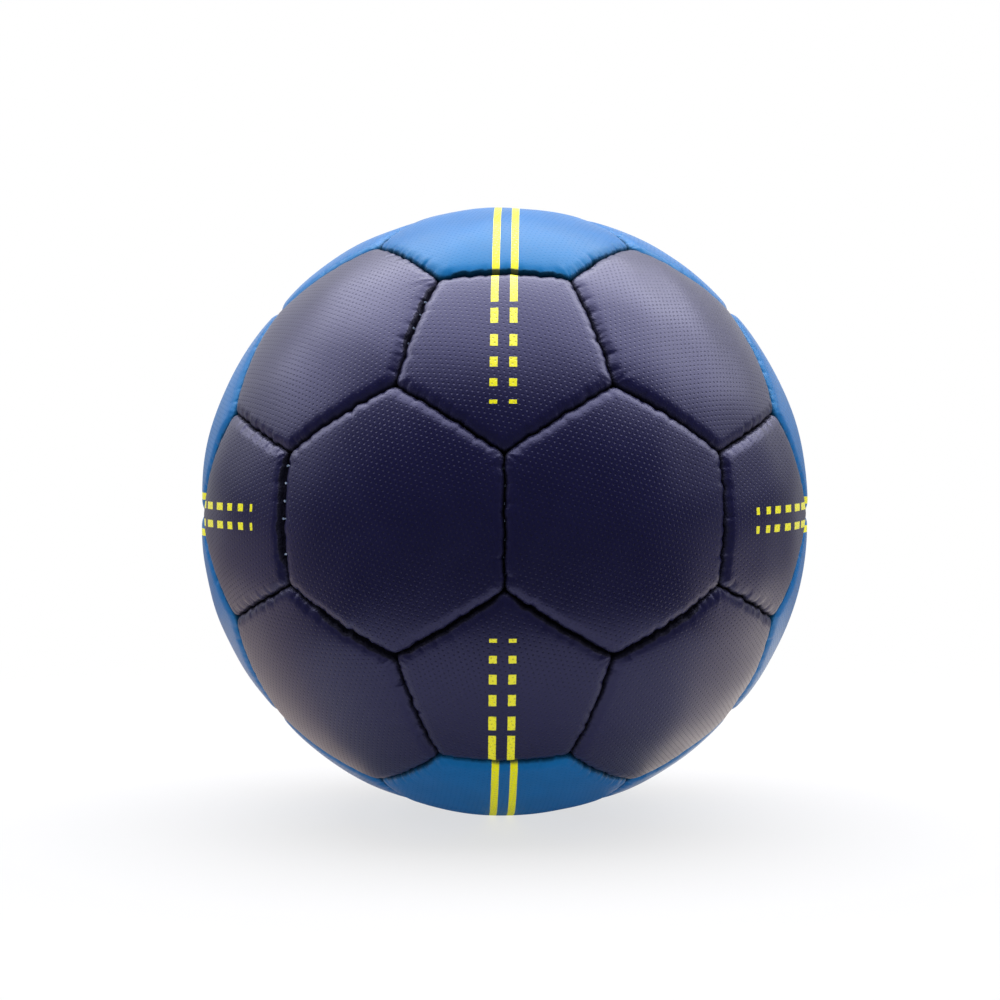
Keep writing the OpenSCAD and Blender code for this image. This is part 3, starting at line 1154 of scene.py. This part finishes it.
floor_finish = Finish("pale_floor")
on_floor = floor_finish.place()
mottle = floor_finish.noise(on_floor, 6.0)
lit = floor_finish.shader(
    {"Specular IOR Level": 0.2}, Roughness=0.8 + mottle * 0.1,
    Base_Color=floor_finish.mix(mottle, shade(203, 203, 203), shade(211, 211, 211)))
to_camera, mirrored, through = floor_finish.rays()
far = floor_finish.vector("LENGTH", on_floor, output="Value")
seen_white = 1 - shadow_share * (1 - floor_finish.step(far, 0.0, shadow_reach))
mirrored_white = floor_finish.step(far, under_ball, past_ball)
mirrored = mirrored.most(through)
whiteness = (to_camera * seen_white).most(mirrored * mirrored_white)
whiteness = whiteness.most((1 - mirrored) * table_glow)
glow = floor_finish.glow((1, 1, 1))
both = floor_finish.node("ShaderNodeMixShader", {}, [whiteness, lit, glow])
corners = [(x * floor_half, y * floor_half, floor_z)
           for x, y in ((-1, -1), (1, -1), (1, 1), (-1, 1))]
stage_mesh("floor", corners, [(0, 1, 2, 3)], floor_finish.done(both))
print(f"floor at {1000 * floor_z:.1f} mm")

# %% [markdown]
# The front of the ball reflects the dark room behind the camera, and its sides a grey table and
# wall. Without them the leather would look pale and flat. Here they are glowing cards bent round
# the ball and rings on the table, which only reflections see: painted reflections that show no
# edge and cast no shadow.

# %% Stand cards round the ball
dark_near, table_edge, card_far = 0.16, 0.32, 1.25
card_top, dark_top = 0.2, 1.3
card_steps = 24
dark_room, grey_room, dim_room = 0.06, 0.5, 0.12
just_over = floor_z + 2 * mm


def card(name, profile, first, last, radiance):
    """A sheet bent round the ball. The profile is distances out and heights, the ends are degrees
    from the camera's side, and the radiance is a grey or a colour."""
    angles = np.radians(np.linspace(first, last, card_steps + 1))
    co = [(out * math.sin(a), -out * math.cos(a), z) for a in angles for out, z in profile]
    rows = len(profile)
    faces = [(i * rows + j, (i + 1) * rows + j, (i + 1) * rows + j + 1, i * rows + j + 1)
             for i in range(card_steps) for j in range(rows - 1)]
    finish = Finish(name)
    colour = [radiance] * 3 if np.isscalar(radiance) else radiance
    # Each card glows at its radiance: a painted reflection, seen only in reflections
    made = stage_mesh(name, co, faces, finish.done(finish.glow(colour)))
    made.visible_camera = made.visible_diffuse = made.visible_shadow = False


near_rings = ((0.035, 0.05, 0.5), (0.05, 0.07, 0.85), (0.07, table_edge, 1))
near_tones = (("left", 180, 290, (0.98, 0.84, 0.76)), ("right", 70, 180, (1.45, 1.31, 1.18)))
far_tones = (("left", 180, 290, (0.48, 0.42, 0.42)), ("right", 70, 180, (0.44, 0.42, 0.44)))
far_table = ((table_edge, just_over), (card_far, just_over))
wall = ((card_far, just_over), (card_far, card_top))
dark_profile = ((dark_near, just_over), (card_far, just_over), (card_far, dark_top))
card("dark_card", dark_profile, -70, 70, dark_room)
for side, first, last, tone in near_tones:
    for inner, outer, share in near_rings:
        ring = ((inner, just_over), (outer, just_over))
        card(f"near_table_{side}_{int(1000 * inner)}", ring, first, last, [share * c for c in tone])
for side, first, last, tone in far_tones:
    card("far_table_" + side, far_table, first, last, tone)
card("grey_wall", wall, 125, 235, grey_room)
for side, first, last in (("left", 235, 290), ("right", 70, 125)):
    card("dark_wall_" + side, wall, first, last, dim_room)
print("twelve cards")

# %% Set the view transform to Standard
bpy.context.scene.view_settings.view_transform = "Standard"
